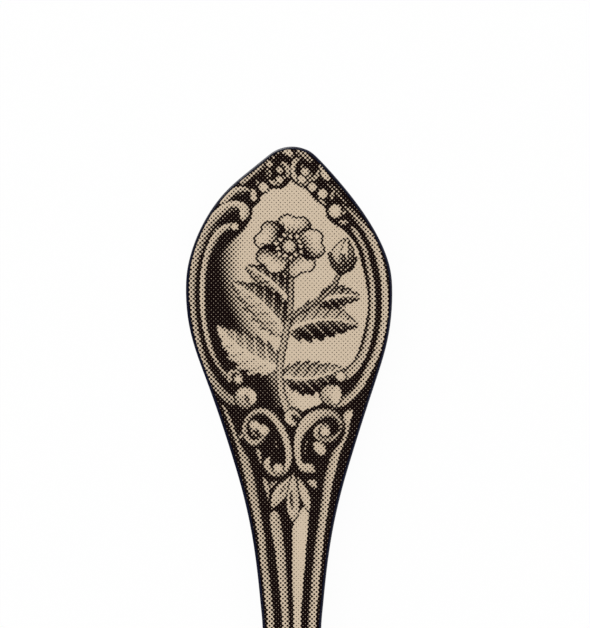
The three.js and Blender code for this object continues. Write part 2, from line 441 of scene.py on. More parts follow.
# A spray of wild rose fills the field: an open flower, a bud and toothed leaves. A pair of values holds the
# two places between which a shade comes or goes.
FLOWER = np.array([289.0, 246.0])
FLOWER_REACH = 37
FLOWER_MARGIN = 3
FLOWER_TILT = 0.88
PETALS = 5
PETAL_ORDER = (0, 2, 4, 1, 3)
FIRST_PETAL = math.radians(-78)
PETAL_SPREAD = 0.84
PETAL_FULLNESS = 0.4
LEAST_FALL = 0.01
PETAL_NOTCH = 0.14
NOTCH_WIDTH = 0.22
PETAL_TONE = 0.03
THROAT = (9, 26)
THROAT_TONE = 0.85
LINE_CLOSENESS = 24
LINE_STARTS = (10, 16)
LINE_ENDS = (20, 33)
LINE_TONE = 0.4
FLANK = (0, 0.85)
FLANK_TONE = 0.75
CURL = (-6, -1)
CURL_TONE = 0.2
PETAL_OUTLINE = 2.0
STAMENS = 13
STAMEN_REACH = 11.5
STAMEN_STAGGER = 2
STAMEN_RADIUS = 1.7
STAMEN_TONE = 0.02
EYE_RADIUS = 6.2
EYE_TONE = 0.2
LEAF_TEETH = 6
TOOTH_DEPTH = 0.34
LEAF_BELLY = 0.75
LEAF_FULLNESS = 0.85
LEAF_OUTLINE = 1.9
BLADE_CURL = 0.3
BLADE_LIFT = 0.12
VEIN_SLANT = 0.8
VEIN_WIDTH = 1.0
VEIN_REACH = 0.85
LIT_VEIN = 0.4
SHADED_VEIN = -0.45
MIDRIB_WIDTH = 1.9
MIDRIB_TAPER = 1.2
MIDRIB_TONE = 0.08
STEM_RELIEF = 0.15
SPRIG_RELIEF = 0.1
STEM = [
    (287, 410, 3.2, 0.35), (281, 390, 3, 0.4), (280, 366, 2.8, 0.45), (285, 338, 2.6, 0.5),
    (290, 308, 2.4, 0.55), (291, 280, 2.2, 0.6),
]
BUD_STEM = [
    (289, 318, 1.8, 0.6), (304, 309, 1.8, 0.62), (321, 298, 1.7, 0.64), (334, 285, 1.7, 0.64),
    (340.5, 270, 1.9, 0.6),
]
BUD_LOBES = [
    [(341.5, 270, 2.4, 0.6), (337, 261, 6, 0.45), (339.5, 250, 5.4, 0.25), (346, 240, 1.4, 0.3)],
    [(342, 270, 2.4, 0.8), (347.5, 262, 5.4, 0.8), (349.5, 252, 4.2, 0.7), (348, 242, 1.2, 0.6)],
    [(341.5, 270, 2, 0.35), (343.5, 260, 3.6, 0.16), (345, 250, 3, 0.08), (347, 240, 1, 0.25)],
]
BUD_SEPALS = [
    [(341, 271, 3, 0.85), (334, 264.5, 2.2, 0.85), (329.5, 254, 0.8, 0.85)],
    [(341.5, 271, 3.2, 0.75), (343.5, 263.5, 2.2, 0.8), (343.5, 255, 0.8, 0.85)],
    [(342, 271, 2.8, 0.85), (350.5, 267, 2.2, 0.88), (356, 258.5, 0.8, 0.9)],
]
# Each leaf as base, tip, half width, bend, and the tones of its lit and its shaded half.
LEAVES = [
    ((290, 302), (246, 266), 12, 4, 0.55, 0.9),
    ((281, 368), (217, 326), 17, -6, 0.2, 0.6),
    ((286, 334), (233, 283), 16, 6, 0.34, 0.86),
    ((289, 330), (358, 325), 18, -8, 0.5, 0.95),
    ((282, 376), (341, 368), 15, 6, 0.5, 0.95),
    ((318, 301), (360, 297), 10, -3, 0.6, 0.95),
]


def paint_leaf(canvas, base, tip, half_width, bend, lit, shaded):
    """A toothed leaf: each half of the blade has its own tone, with a vein to each tooth and a midrib."""
    spots = canvas[0]
    run = np.subtract(tip, base)
    length = math.hypot(*run)
    along = ((spots - base) @ run) / length**2
    near = np.nonzero((along > 0) & (along < 1))[0]
    along = along[near]
    across = ((spots[near] - base) @ [-run[1], run[0]]) / length - bend * 4 * along * (1 - along)
    side = np.abs(across)
    teeth = 1 + TOOTH_DEPTH * ((LEAF_TEETH * along) % 1 - 0.5)
    half = half_width * np.sin(math.pi * along**LEAF_BELLY) ** LEAF_FULLNESS * teeth
    spacing = length / LEAF_TEETH
    phase = (LEAF_TEETH * (along - VEIN_SLANT * side / length)) % 1
    vein = cover(VEIN_WIDTH - spacing * np.minimum(phase, 1 - phase), VEIN_WIDTH)
    midrib = cover(MIDRIB_WIDTH - MIDRIB_TAPER * along - side, VEIN_WIDTH)
    blade = np.where(across > 0, shaded, lit) + BLADE_CURL * side / half_width - BLADE_LIFT
    veined = blade + np.where(across > 0, SHADED_VEIN, LIT_VEIN) * vein * (side < half * VEIN_REACH)
    depth = np.minimum(half - side, length * np.minimum(along, 1 - along))
    lay(canvas, near, depth, veined * (1 - midrib) + MIDRIB_TONE * midrib, LEAF_OUTLINE)


def paint_petal(canvas, heading):
    """A notched petal: pale at the lip and shaded into the throat, with fine lines down its length."""
    away = (canvas[0] - FLOWER) / [1, FLOWER_TILT]
    radius = np.maximum(np.hypot(*away.T), 1)
    near = np.nonzero(radius < FLOWER_REACH + FLOWER_MARGIN)[0]
    radius = radius[near]
    turn = np.arctan2(away[near, 1], away[near, 0]) - heading
    share = ((turn + math.pi) % (2 * math.pi) - math.pi) / PETAL_SPREAD
    fall = np.clip(1 - share**2, LEAST_FALL, 1)
    lip = FLOWER_REACH * (fall**PETAL_FULLNESS - PETAL_NOTCH * np.exp(-((share / NOTCH_WIDTH) ** 2)))
    slope = 2 * PETAL_FULLNESS * np.abs(share) * fall ** (PETAL_FULLNESS - 1) / PETAL_SPREAD
    depth = np.where(
        np.abs(share) < 1,
        (lip - radius) / np.hypot(1, FLOWER_REACH * slope / radius),
        -FLOWER_REACH,
    )
    throat = 1 - smooth_step(radius, *THROAT)
    lines = (0.5 + 0.5 * np.cos(share * LINE_CLOSENESS)) * smooth_step(radius, *LINE_STARTS)
    lines *= 1 - smooth_step(radius, *LINE_ENDS)
    flank = smooth_step(share, *FLANK)
    curl = smooth_step(radius - lip, *CURL)
    shade = THROAT_TONE * throat + LINE_TONE * lines + FLANK_TONE * flank + CURL_TONE * curl
    lay(canvas, near, depth, PETAL_TONE + shade, PETAL_OUTLINE)


def paint_spray(canvas):
    """The spray of wild rose, its leaves and stems first and the open flower over them."""
    for values in LEAVES:
        paint_leaf(canvas, *values)
    stroke(canvas, STEM, STEM_RELIEF)
    for points in [BUD_STEM, *BUD_LOBES, *BUD_SEPALS]:
        stroke(canvas, points, SPRIG_RELIEF)
    for step in PETAL_ORDER:
        paint_petal(canvas, FIRST_PETAL + step * 2 * math.pi / PETALS)
    for step in range(STAMENS):
        angle = step * 2 * math.pi / STAMENS
        reach = STAMEN_REACH + (step % 2) * STAMEN_STAGGER
        column, row = FLOWER + [reach * math.cos(angle), reach * FLOWER_TILT * math.sin(angle)]
        ball(canvas, column, row, STAMEN_RADIUS, STAMEN_TONE)
    ball(canvas, *FLOWER, EYE_RADIUS, EYE_TONE)


# The border's rails and scrolls, in the order in which they overlap.
LEFT_SCROLLS = [
    [(245.5, 193.5, 1.2, 0.8), (240, 194.8, 2, 0.76), (234, 198, 2.2, 0.74), (228, 202, 1.2, 0.8)],
    [(238, 207.8, 2.4, 0.62), (232, 208.8, 3.5, 0.52), (226, 214, 3.4, 0.56), (219.5, 222.2, 2.9, 0.62),
     (213, 232.5, 2.2, 0.7), (207.5, 242.5, 1.6, 0.76)],
    [(250, 191, 1, 0.6), (245.5, 189.8, 2.4, 0.52), (240, 189.8, 3.2, 0.5), (234, 192.5, 3.9, 0.46),
     (228.5, 197.2, 4, 0.42), (224, 202.5, 3.4, 0.42), (220.5, 207.5, 1.2, 0.5)],
    [(243.5, 219.2, 2, 0.36), (244.3, 214.5, 4.7, 0.26), (244.3, 209.7, 4.6, 0.26), (241, 205.8, 3.7, 0.28),
     (236, 204.4, 3.3, 0.32), (229, 205.7, 3.7, 0.36), (222.5, 210.6, 4.9, 0.42), (215.3, 217.6, 5.5, 0.46),
     (208.5, 227, 5.5, 0.5), (202.6, 239.3, 5.1, 0.52), (198.5, 251.3, 4.6, 0.53), (195, 265, 4, 0.54),
     (193, 282, 3.4, 0.54), (192.7, 300, 3, 0.53), (194.7, 320, 2.7, 0.52), (198.3, 340, 2.6, 0.5),
     (203.8, 360, 2.9, 0.52), (208.7, 372, 3.2, 0.55), (214.2, 382, 3.6, 0.58), (220.3, 391, 3.9, 0.61),
     (227.5, 398.5, 4.5, 0.61), (235, 401.5, 5.4, 0.56)],
    [(231, 225.7, 2.7, 0.34), (225.3, 228.2, 3.6, 0.4), (219.5, 232.7, 3.9, 0.42), (214.2, 239.8, 3.7, 0.42),
     (210, 248.3, 3.4, 0.42), (206.6, 258, 3, 0.4), (204, 270, 2.7, 0.36), (202.7, 285, 2.6, 0.32),
     (202.6, 300, 2.5, 0.32), (203.9, 320, 2.3, 0.32), (207.9, 339, 2.3, 0.36), (211.2, 350, 2.1, 0.4),
     (215.6, 360, 1.9, 0.5), (221, 369, 2, 0.56), (226, 375, 2.2, 0.52), (229.5, 379, 2.4, 0.42)],
    [(230.3, 380.5, 2.5, 0.5), (229.8, 375.3, 2.6, 0.5), (233, 371.9, 2.4, 0.54), (237.5, 372.5, 2.4, 0.52),
     (240.4, 376.5, 2.2, 0.4), (240.3, 381.5, 2.1, 0.44), (237.5, 384.5, 1.4, 0.6)],
]
RIGHT_SCROLLS = [
    [(343, 204, 2, 0.78), (350, 210.5, 2.6, 0.68), (356.6, 218, 2.8, 0.6), (362.4, 224.5, 3, 0.52),
     (367, 231, 3.1, 0.44), (371.9, 239.7, 3.3, 0.37), (376.3, 250, 3.2, 0.32), (380.3, 263, 3.1, 0.3),
     (383.6, 280, 3, 0.28), (384.9, 300, 3.1, 0.27), (383.9, 320, 3.1, 0.29), (380, 340, 3.2, 0.34),
     (375.4, 355, 3.4, 0.38), (368.3, 370, 3.5, 0.38), (360.7, 384.4, 3.5, 0.38), (351.7, 395.2, 3.8, 0.42),
     (342.5, 401.5, 4.2, 0.46), (334, 404, 4, 0.52)],
    [(350.5, 226.5, 1, 0.6), (354.8, 231, 2.2, 0.46), (360, 240, 2.2, 0.48), (364.6, 250, 2.2, 0.46),
     (367.8, 263, 2.3, 0.48), (371.4, 280, 2.4, 0.42), (372.9, 300, 2.7, 0.38), (371.8, 320, 2.9, 0.38),
     (367.8, 340, 3.3, 0.4), (362.5, 355, 3.6, 0.42), (355.3, 366.3, 4.3, 0.42), (348, 373, 4.8, 0.44),
     (342, 377, 4.2, 0.42)],
]
CREST = [
    [(264, 160, 2, 0.74), (271, 155, 3.4, 0.68), (278, 151.5, 2.4, 0.7)],
    [(268, 168, 1.6, 0.76), (268.5, 174, 3, 0.7), (270, 179, 1.6, 0.74)],
    [(310, 172.5, 1.4, 0.76), (310, 178, 3.4, 0.62), (305.5, 182, 3, 0.55)],
    [(282, 150.5, 1.5, 0.62), (286, 151.5, 3.1, 0.34), (289.5, 153, 3.2, 0.28), (292, 156, 1.6, 0.5)],
    [(298, 151.5, 2.8, 0.7), (304, 155.5, 3.6, 0.66), (310.5, 160.5, 2.6, 0.72)],
    [(328, 183.5, 1.8, 0.85), (334.5, 190, 3, 0.8), (341, 197.5, 2.6, 0.82), (346.5, 204, 1.6, 0.88)],
    [(263, 166.5, 2, 0.66), (256, 171.5, 2.8, 0.6), (249, 176.8, 3, 0.55), (242.5, 182, 2.4, 0.45)],
    [(282, 163, 1.6, 0.55), (286.3, 165.7, 2.5, 0.44), (288.3, 171, 2.4, 0.48), (287.8, 176.5, 2, 0.56)],
    [(270, 172, 1.8, 0.58), (270.5, 177, 1.2, 0.72)],
    [(270.5, 181.5, 1.6, 0.45), (274.5, 183, 2.4, 0.42), (280, 182, 3, 0.3), (283.5, 178, 1.8, 0.42)],
    [(299.5, 158.5, 1.2, 0.62), (295.5, 161, 2.2, 0.42), (293.3, 166, 2.3, 0.34), (293, 171.5, 2.3, 0.32),
     (294.8, 177, 2.4, 0.33), (298.5, 181.3, 2.6, 0.34), (303, 183.5, 2.6, 0.38), (307.5, 182.5, 1.6, 0.48)],
    [(302, 165.5, 1, 0.6), (303.5, 168.5, 1.8, 0.42)],
    [(318.8, 170, 1.4, 0.6), (317.5, 175, 1.8, 0.48), (313.5, 179, 1.8, 0.5), (309.5, 181, 1.5, 0.58)],
    [(319.8, 164.5, 1.2, 0.5), (322.6, 170.5, 2.3, 0.4), (325.2, 176, 3.3, 0.26), (328.8, 179.3, 1.5, 0.38)],
    [(257, 182, 1.6, 0.62), (258.5, 186, 1.2, 0.7)],
    [(253.2, 191.8, 2.8, 0.34), (253.8, 198, 3.2, 0.22)],
    [(320, 197, 2.4, 0.45), (322.5, 201.5, 2, 0.5), (326, 204, 1, 0.62)],
    [(334.2, 191, 1, 0.6), (332.4, 195, 1.8, 0.52), (331.6, 199, 1.2, 0.62)],
    [(340.3, 222, 1.4, 0.52), (343.5, 222.6, 2.2, 0.42), (347.2, 222.2, 1.2, 0.55)],
]
LOOPS = [
    [(240, 437, 1.8, 0.46), (244.8, 434.8, 2.8, 0.38), (244.3, 429, 2.2, 0.45), (245.3, 423.5, 2.1, 0.5),
     (248.2, 418, 2.2, 0.52), (253, 413.3, 2.3, 0.5), (259, 411, 2.6, 0.42), (265, 411.6, 2.8, 0.36),
     (270.5, 415, 3, 0.33), (275.5, 420, 3.1, 0.3), (280.5, 427.5, 3.2, 0.28), (284.5, 435.5, 3.2, 0.28),
     (287.3, 444.5, 3.2, 0.28), (288.7, 454, 2.9, 0.3), (288.3, 462.5, 2.7, 0.3), (285.5, 469, 2.7, 0.3),
     (280, 473, 3, 0.3), (273.5, 473.2, 2.8, 0.42), (268.7, 469.5, 2.8, 0.42), (266.8, 464, 3.1, 0.3),
     (268.2, 459.8, 2.5, 0.3)],
    [(246, 436, 2.2, 0.42), (249, 440.6, 2.4, 0.4), (254, 443, 2.6, 0.38), (258.8, 441.2, 2.7, 0.48),
     (263, 437.3, 2.7, 0.56), (266.3, 433, 1.8, 0.62)],
    [(251.8, 427, 1.2, 0.65), (252.5, 432.5, 1.8, 0.56), (256.5, 437, 1.2, 0.7)],
    [(342.3, 431, 1.4, 0.64), (341.2, 424.5, 2.2, 0.6), (338, 418.3, 2.6, 0.56), (332.5, 414, 3.2, 0.52),
     (325, 413, 4.2, 0.44), (318, 415, 5.1, 0.38), (311.3, 418.8, 5.7, 0.32), (305.7, 424.2, 5.5, 0.29),
     (301.5, 430.5, 4.8, 0.28), (298.6, 437.5, 3.8, 0.28), (297.5, 446, 3.1, 0.28), (297.8, 455, 2.9, 0.3),
     (299.4, 462.5, 2.9, 0.32), (303.6, 467.5, 4, 0.32), (308.8, 468, 4.6, 0.3), (314, 471, 1.8, 0.46)],
    [(327, 425.6, 1.8, 0.4), (321, 426.2, 2.3, 0.38), (316.8, 429, 2.4, 0.38), (315.8, 433.8, 2.4, 0.4),
     (318, 437.8, 2.2, 0.5), (322.7, 439.8, 2.3, 0.58), (329, 440.2, 2.6, 0.58), (335, 437.3, 2.6, 0.6),
     (339.5, 432, 1.8, 0.66)],
    [(316, 444.5, 3, 0.34), (320, 448.5, 5.2, 0.18), (322.5, 452.5, 3, 0.28)],
    [(299.5, 417.5, 1.4, 0.5), (296.5, 413.6, 2.2, 0.4), (291.5, 412.3, 2.8, 0.3), (288, 415.8, 3.2, 0.22),
     (289.3, 420.3, 3.4, 0.2), (293.8, 423.8, 2.6, 0.28)],
    [(308.5, 481.5, 1, 0.5), (313, 483.3, 3.2, 0.32), (315.3, 487, 1.4, 0.42)],
]
FINE_STROKES = [
    [(257.8, 450.5, 1.8, 0.42), (259.8, 456, 1.9, 0.46), (261, 464, 0.8, 0.72)],
    [(275.5, 441, 0.8, 0.8), (277.5, 449.5, 0.8, 0.8)],
    [(307, 441, 0.8, 0.75), (305.5, 449, 0.8, 0.78), (305, 456, 0.6, 0.84)],
    [(277, 481, 1, 0.7), (272.5, 484.5, 2, 0.6), (269.5, 489, 1, 0.6)],
    [(264, 478.5, 1, 0.55), (266.3, 485, 2.4, 0.38), (267.6, 491.5, 1.8, 0.46), (268.2, 499, 0.8, 0.6)],
]
BUD_LEAVES = [
    [(290, 477, 0.8, 0.5), (285.7, 485, 4.3, 0.37), (281.2, 492, 6.5, 0.29), (276.6, 499.5, 5.2, 0.33),
     (272, 507, 1.4, 0.46)],
    [(298, 478.5, 0.8, 0.5), (301.5, 486, 3, 0.3), (304.6, 494.5, 4.2, 0.22), (307.2, 503, 3.4, 0.26),
     (308.6, 510, 1, 0.4)],
    [(293.5, 474.5, 0.8, 0.5), (293.3, 483, 3.2, 0.32), (293, 493, 5.2, 0.3), (293, 504, 6.2, 0.27),
     (293.3, 513, 4.8, 0.28), (293.3, 521, 0.8, 0.42)],
]
# Touches of light and dark laid over the rest, with no inked line round them.
TOUCHES = [
    [(291.5, 491.5, 0.8, 0.85), (291.3, 499.5, 1.5, 0.9), (292.2, 508.5, 0.8, 0.85)],
    [(285, 485.5, 0.6, 0.7), (282.3, 490, 1, 0.75), (279.5, 494, 0.5, 0.7)],
    [(292.3, 416, 0.7, 0.9), (295.8, 417.8, 1, 0.95), (297.3, 422.5, 0.8, 0.95)],
    [(239.5, 394.5, 2.6, 0.26), (243, 392.4, 4, 0.12), (248, 391.8, 3, 0.26), (252.3, 394.7, 3.6, 0.12),
     (252.8, 400.2, 3, 0.2)],
    [(245.3, 395.8, 1.1, 0.8), (246.8, 398.5, 1.7, 0.85), (247.8, 402, 1, 0.75)],
    [(337, 388, 2.2, 0.14), (336.8, 394, 4.4, 0.05), (335, 400, 4, 0.1)],
    [(325, 389.5, 1.6, 0.4), (323.5, 394.5, 2, 0.46), (325.5, 400, 1.6, 0.5)],
    [(327.5, 396.5, 0.9, 0.65), (328.8, 400, 1.3, 0.7), (332.5, 403.8, 0.8, 0.6)],
    [(256, 425.5, 3, 0.16), (259.5, 427.2, 2.6, 0.22), (263, 429.5, 3.4, 0.1)],
    [(254, 431.5, 1.1, 0.85), (257.3, 433.8, 1.5, 0.92), (260.5, 436.5, 1, 0.85)],
]
# The stem's ribs, each with how strongly the light models it.
NECK_ROW = 1499
STEM_RIBS = [
    (0.24, [
        (222.5, 405, 0.8, 0.6), (226.5, 413, 1.6, 0.5), (231.5, 425, 1.7, 0.48), (236, 438, 1.8, 0.48),
        (240, 448.5, 2.4, 0.5), (244.3, 459, 4, 0.5), (247.4, 469.5, 4.3, 0.5), (250.2, 480, 4.4, 0.5),
        (254.3, 500, 4.1, 0.48), (258.4, 520, 3.6, 0.46), (262, 540, 3.5, 0.46), (263.8, 560, 3.4, 0.46),
        (266.6, 580, 3.5, 0.46), (268.6, 600, 3.5, 0.47), (270.6, 620, 3.5, 0.48), (272.6, 700, 3.4, 0.48),
        (273.4, 850, 3.3, 0.48), (272.6, 1050, 3.5, 0.47), (270, 1250, 3.8, 0.46),
        (266.4, NECK_ROW, 4.2, 0.46),
    ]),
    (0.22, [
        (274.8, 515.5, 4.4, 0.42), (275.5, 522, 5.2, 0.4), (276.8, 530, 5.2, 0.4), (278.4, 540, 5, 0.42),
        (280, 550, 4.7, 0.43), (281, 560, 4.7, 0.43), (282.8, 580, 4.2, 0.43), (284.3, 600, 3.7, 0.43),
        (285.6, 620, 3.5, 0.43), (287, 700, 3, 0.43), (287, 850, 2.8, 0.43), (286.4, 1050, 3, 0.42),
        (284.6, 1250, 3.4, 0.42), (281.8, NECK_ROW, 3.8, 0.42),
    ]),
    (-0.08, [
        (306, 505.5, 1.6, 0.2), (304.4, 512.5, 4.4, 0.14), (301.6, 521, 6.8, 0.08), (300, 531, 7.5, 0.06),
        (299.4, 545, 6.8, 0.06), (298.8, 560, 6.4, 0.07), (297.9, 580, 5.4, 0.1), (297.5, 600, 4.5, 0.14),
        (297.1, 620, 3.8, 0.17), (296.9, 700, 3.6, 0.17), (296.6, 850, 3.6, 0.16), (296.7, 1050, 4, 0.16),
        (297.6, 1250, 4.6, 0.16), (298.8, NECK_ROW, 5.2, 0.16),
    ]),
    (-0.28, [
        (350.3, 412, 2.5, 0.25), (347.7, 416, 4.2, 0.16), (347, 422.5, 2.5, 0.36), (346.8, 430, 2.1, 0.44),
        (344.8, 437.5, 1.7, 0.46), (340.6, 445, 2.3, 0.4), (336.7, 452, 3.4, 0.38), (333.6, 460, 4.2, 0.38),
        (331.3, 470, 4.4, 0.38), (328.5, 480, 4.4, 0.4), (325.5, 500, 3.9, 0.4), (322.4, 520, 3.7, 0.4),
        (319.5, 540, 3.9, 0.42), (317.4, 560, 4.1, 0.43), (315.3, 580, 4, 0.43), (313.8, 600, 3.9, 0.43),
        (312, 620, 3.8, 0.44), (310.8, 700, 3.6, 0.44), (310.4, 850, 3.5, 0.44), (311.6, 1050, 3.7, 0.44),
        (314.4, 1250, 4, 0.44), (318, NECK_ROW, 4.2, 0.44),
    ]),
]
# Beads and the round ends of the scrolls, as (column, row, radius, tone).
BEADS = [
    (245.5, 397.3, 11, 0.4), (238.1, 379.2, 4.1, 0.06), (234.5, 226.4, 3.7, 0.1),
    (340.4, 376, 4.9, 0.06), (331.2, 394.6, 10.2, 0.22),
    (272.5, 157, 2, 0.56), (269, 163.6, 3.6, 0.34), (279.5, 169.8, 3.2, 0.28), (279.2, 179.6, 3.4, 0.16),
    (301.5, 179, 4.2, 0.14), (305, 171.5, 3.9, 0.2), (263.6, 187.2, 4.8, 0.12), (312.2, 187, 4.2, 0.14),
    (322.2, 193.7, 4.8, 0.1), (335.2, 210.9, 6.6, 0.03), (343.5, 212, 2.2, 0.46),
    (278, 468.3, 4.9, 0.1), (254.3, 425.2, 4.9, 0.12), (263.4, 430, 5.2, 0.06),
    (324.8, 431.2, 4.9, 0.08), (340.6, 427, 1.8, 0.44),
]


def paint_border(canvas):
    """The scrolled border, the loops below it, the bud, and the ribs that run down the stem."""
    for points in LEFT_SCROLLS:
        stroke(canvas, points, LEFT_RELIEF)
    for points in RIGHT_SCROLLS:
        stroke(canvas, points, RIGHT_RELIEF)
    for relief, points in STEM_RIBS:
        stroke(canvas, points, relief)
    for points in [*CREST, *LOOPS, *BUD_LEAVES, *FINE_STROKES]:
        stroke(canvas, points, SMALL_RELIEF)
    for values in BEADS:
        ball(canvas, *values)
    for points in TOUCHES:
        stroke(canvas, points, rounding=0, outline=0)


def glazed_foil():
    """Foil under a clear glaze: a cream ground with warm black dots, whose size follows the tone."""
    material, tree = new_material("glazed_printed_foil")
    place = add_node(tree, "ShaderNodeTexCoord").outputs["Object"]
    tone = add_node(tree, "ShaderNodeAttribute", attribute_name="print_tone").outputs["Fac"]
    turn = 2 * math.pi / SCREEN_PITCH
    screen = add_node(
        tree,
        "ShaderNodeMapping",
        {"Vector": place, "Rotation": (0, 0, SCREEN_ANGLE), "Scale": (turn, turn, turn)},
    )
    axes = add_node(tree, "ShaderNodeSeparateXYZ", {"Vector": screen.outputs["Vector"]})
    waves = [add_node(tree, "ShaderNodeMath", {0: axes.outputs[a]}, operation="COSINE") for a in "XY"]
    both = add_node(tree, "ShaderNodeMath", {0: waves[0].outputs[0], 1: waves[1].outputs[0]}, operation="ADD")
    spot = add_node(
        tree,
        "ShaderNodeMath",
        {0: both.outputs[0], 1: SCREEN_SWING, 2: SCREEN_MIDDLE},
        operation="MULTIPLY_ADD",
    )
    excess = add_node(tree, "ShaderNodeMath", {0: tone, 1: spot.outputs[0]}, operation="SUBTRACT")
    grain = add_node(
        tree,
        "ShaderNodeTexNoise",
        {"Vector": place, "Scale": 1 / DOT_GRAIN, "Detail": GRAIN_DETAIL},
    )
    ragged = add_node(
        tree,
        "ShaderNodeMapRange",
        {"Value": grain.outputs["Fac"], "To Min": -DOT_RAGGEDNESS, "To Max": DOT_RAGGEDNESS},
    )
    printed = add_node(tree, "ShaderNodeMath", {0: excess.outputs[0], 1: ragged.outputs[0]}, operation="ADD")
    ink = add_node(
        tree,
        "ShaderNodeMath",
        {0: printed.outputs[0], 1: SCREEN_EDGE, 2: HALF_COVER},
        operation="MULTIPLY_ADD",
        use_clamp=True,
    )
    colour = add_node(
        tree,
        "ShaderNodeMix",
        {"Factor": ink.outputs[0], "A": cream_colour(tree, place), "B": linear(INK)},
        data_type="RGBA",
    )
    waviness = mould_ripple(tree, place)
    surface = add_node(
        tree,
        "ShaderNodeBsdfPrincipled",
        {
            "Base Color": colour.outputs["Result"],
            "Roughness": FOIL_ROUGHNESS,
            "IOR": MELAMINE_IOR,
            "Specular IOR Level": 0,
            "Coat Weight": 1,
            "Coat Roughness": GLAZE_ROUGHNESS,
            "Coat IOR": GLAZE_IOR,
            "Normal": waviness,
            "Coat Normal": waviness,
        },
    )
    add_node(tree, "ShaderNodeOutputMaterial", {"Surface": surface.outputs["BSDF"]})
    return material


def lay_out_map(piece, breaks, side):
    """Maps a print for baking: its face from above in strips that end at the breaks, the thin walls folded
    out, and last the hidden underside, smaller."""
    faces = piece.data.polygons
    corners = np.empty(len(piece.data.loops), np.int32)
    counts = np.empty(len(faces), np.int32)
    points = np.empty(len(piece.data.vertices) * 3)
    piece.data.loops.foreach_get("vertex_index", corners)
    faces.foreach_get("loop_total", counts)
    piece.data.vertices.foreach_get("co", points)
    places = points.reshape(-1, 3)[corners]
    owner = np.repeat(np.arange(len(faces)), counts)
    centres, normals = face_centres(piece)
    is_wall = np.abs(normals[:, 2]) < WALL_FACING
    highest = np.maximum.reduceat(places[:, 2], np.cumsum(counts) - counts)
    fold = ((highest * is_wall)[owner] - places[:, 2]) * is_wall[owner]
    flat = places[:, :2] + normals[owner, :2] * fold[:, None]
    strips = np.digitize(tip_y - centres[:, 1], breaks)
    strips = np.where(normals[:, 2] < -WALL_FACING, len(breaks) + 1, strips)[owner]
    left = MAP_MARGIN
    for strip in range(len(breaks) + 2):
        chosen = strips == strip
        scale = UNDERSIDE_SCALE if strip > len(breaks) else 1
        flat[chosen] = (flat[chosen] - flat[chosen].min(0)) * scale + [left, MAP_MARGIN]
        left = flat[chosen, 0].max() + MAP_MARGIN
    layer = piece.data.uv_layers.new(name=MAP_NAME)
    layer.data.foreach_set("uv", (flat / side).astype(np.float32).ravel())


def keep_tone(piece, tones):
    """Stores at each point the screen's level under which as much of the ground lies as the tone says, less
    what the dots gain when they are printed."""
    tones = np.clip(tones, 0, 1)
    drawn = tones - 4 * DOT_GAIN * tones * (1 - tones)
    phase = np.cos(np.linspace(0, 2 * math.pi, SCREEN_STEPS, endpoint=False))
    levels = np.quantile(SCREEN_MIDDLE + SCREEN_SWING * (phase[:, None] + phase), drawn)
    layer = piece.data.attributes.new("print_tone", "FLOAT", "POINT")
    layer.data.foreach_set("value", levels.astype(np.float32))


handle_print = rounded_copy("handle_foil", "handle_print")
centres, normals = face_centres(handle_print)
head_y = tip_y - (HEAD_ROW - TIP_ROW) * PIXEL
refine(handle_print, (normals[:, 2] > TOP_FACING) & (centres[:, 1] > head_y), HEAD_CUTS)
centres, normals = face_centres(handle_print)
refine(handle_print, (normals[:, 2] > TOP_FACING) & (centres[:, 1] < head_y), STEM_CUTS)
spots = print_points(handle_print)
handle_canvas = (spots, np.full(len(spots), DARK_TONE))
paint_field(handle_canvas)
paint_spray(handle_canvas)
paint_border(handle_canvas)
keep_tone(handle_print, handle_canvas[1])
lay_out_map(handle_print, HANDLE_BREAKS, HANDLE_MAP_SIDE)
foil = glazed_foil()
handle_print.data.materials.append(foil)


# The bowl's print
# The same foil in the hollow of the bowl. The stem's outer ribs run on round it as rails, a scalloped edge
# lies inside them, the middle ribs end in a palmette, and the hollow is drawn as polished metal.

BOWL_CUTS = 2
BOWL_MAP_SIDE = 0.0697
CUT_END_DEPTH = 0.0007
# The rails, as (distance from the edge of the foil, half width, tone), and inside them the scallops, in the
# photograph's pixels.
RAILS = [(6.2, 4.2, 0.46), (21.3, 3.6, 0.42)]
RAIL_RELIEF = 0.25
BOWL_MIDDLE = np.array([292.2, 1775])
BOWL_ASPECT = np.array([1, 1.55])
SCALLOPS = 44
SCALLOP_START = 27
SCALLOP_DEPTH = 22
SCALLOP_HOLLOW = 0.3
SCALLOP_TONE = 0.12
SCALLOP_FOLD_TONE = 0.55
SCALLOP_EDGE_TONE = 0.5
# The polished hollow: the slopes at which it shades off, gleams and has its darker band, with their tones.
SKY = np.array([-0.6, 0.8])
HOLLOW_TONE = 0.1
HOLLOW_OUTLINE = 1.5
SHADE_SLOPES = (-0.12, 0.4)
SHADE_TONE = 0.8
GLEAM_SLOPE = -0.47
GLEAM_SPREAD = 0.07
GLEAM_TONE = -0.6
BAND_SLOPE = 0.33
BAND_SPREAD = 0.06
BAND_TONE = 0.35
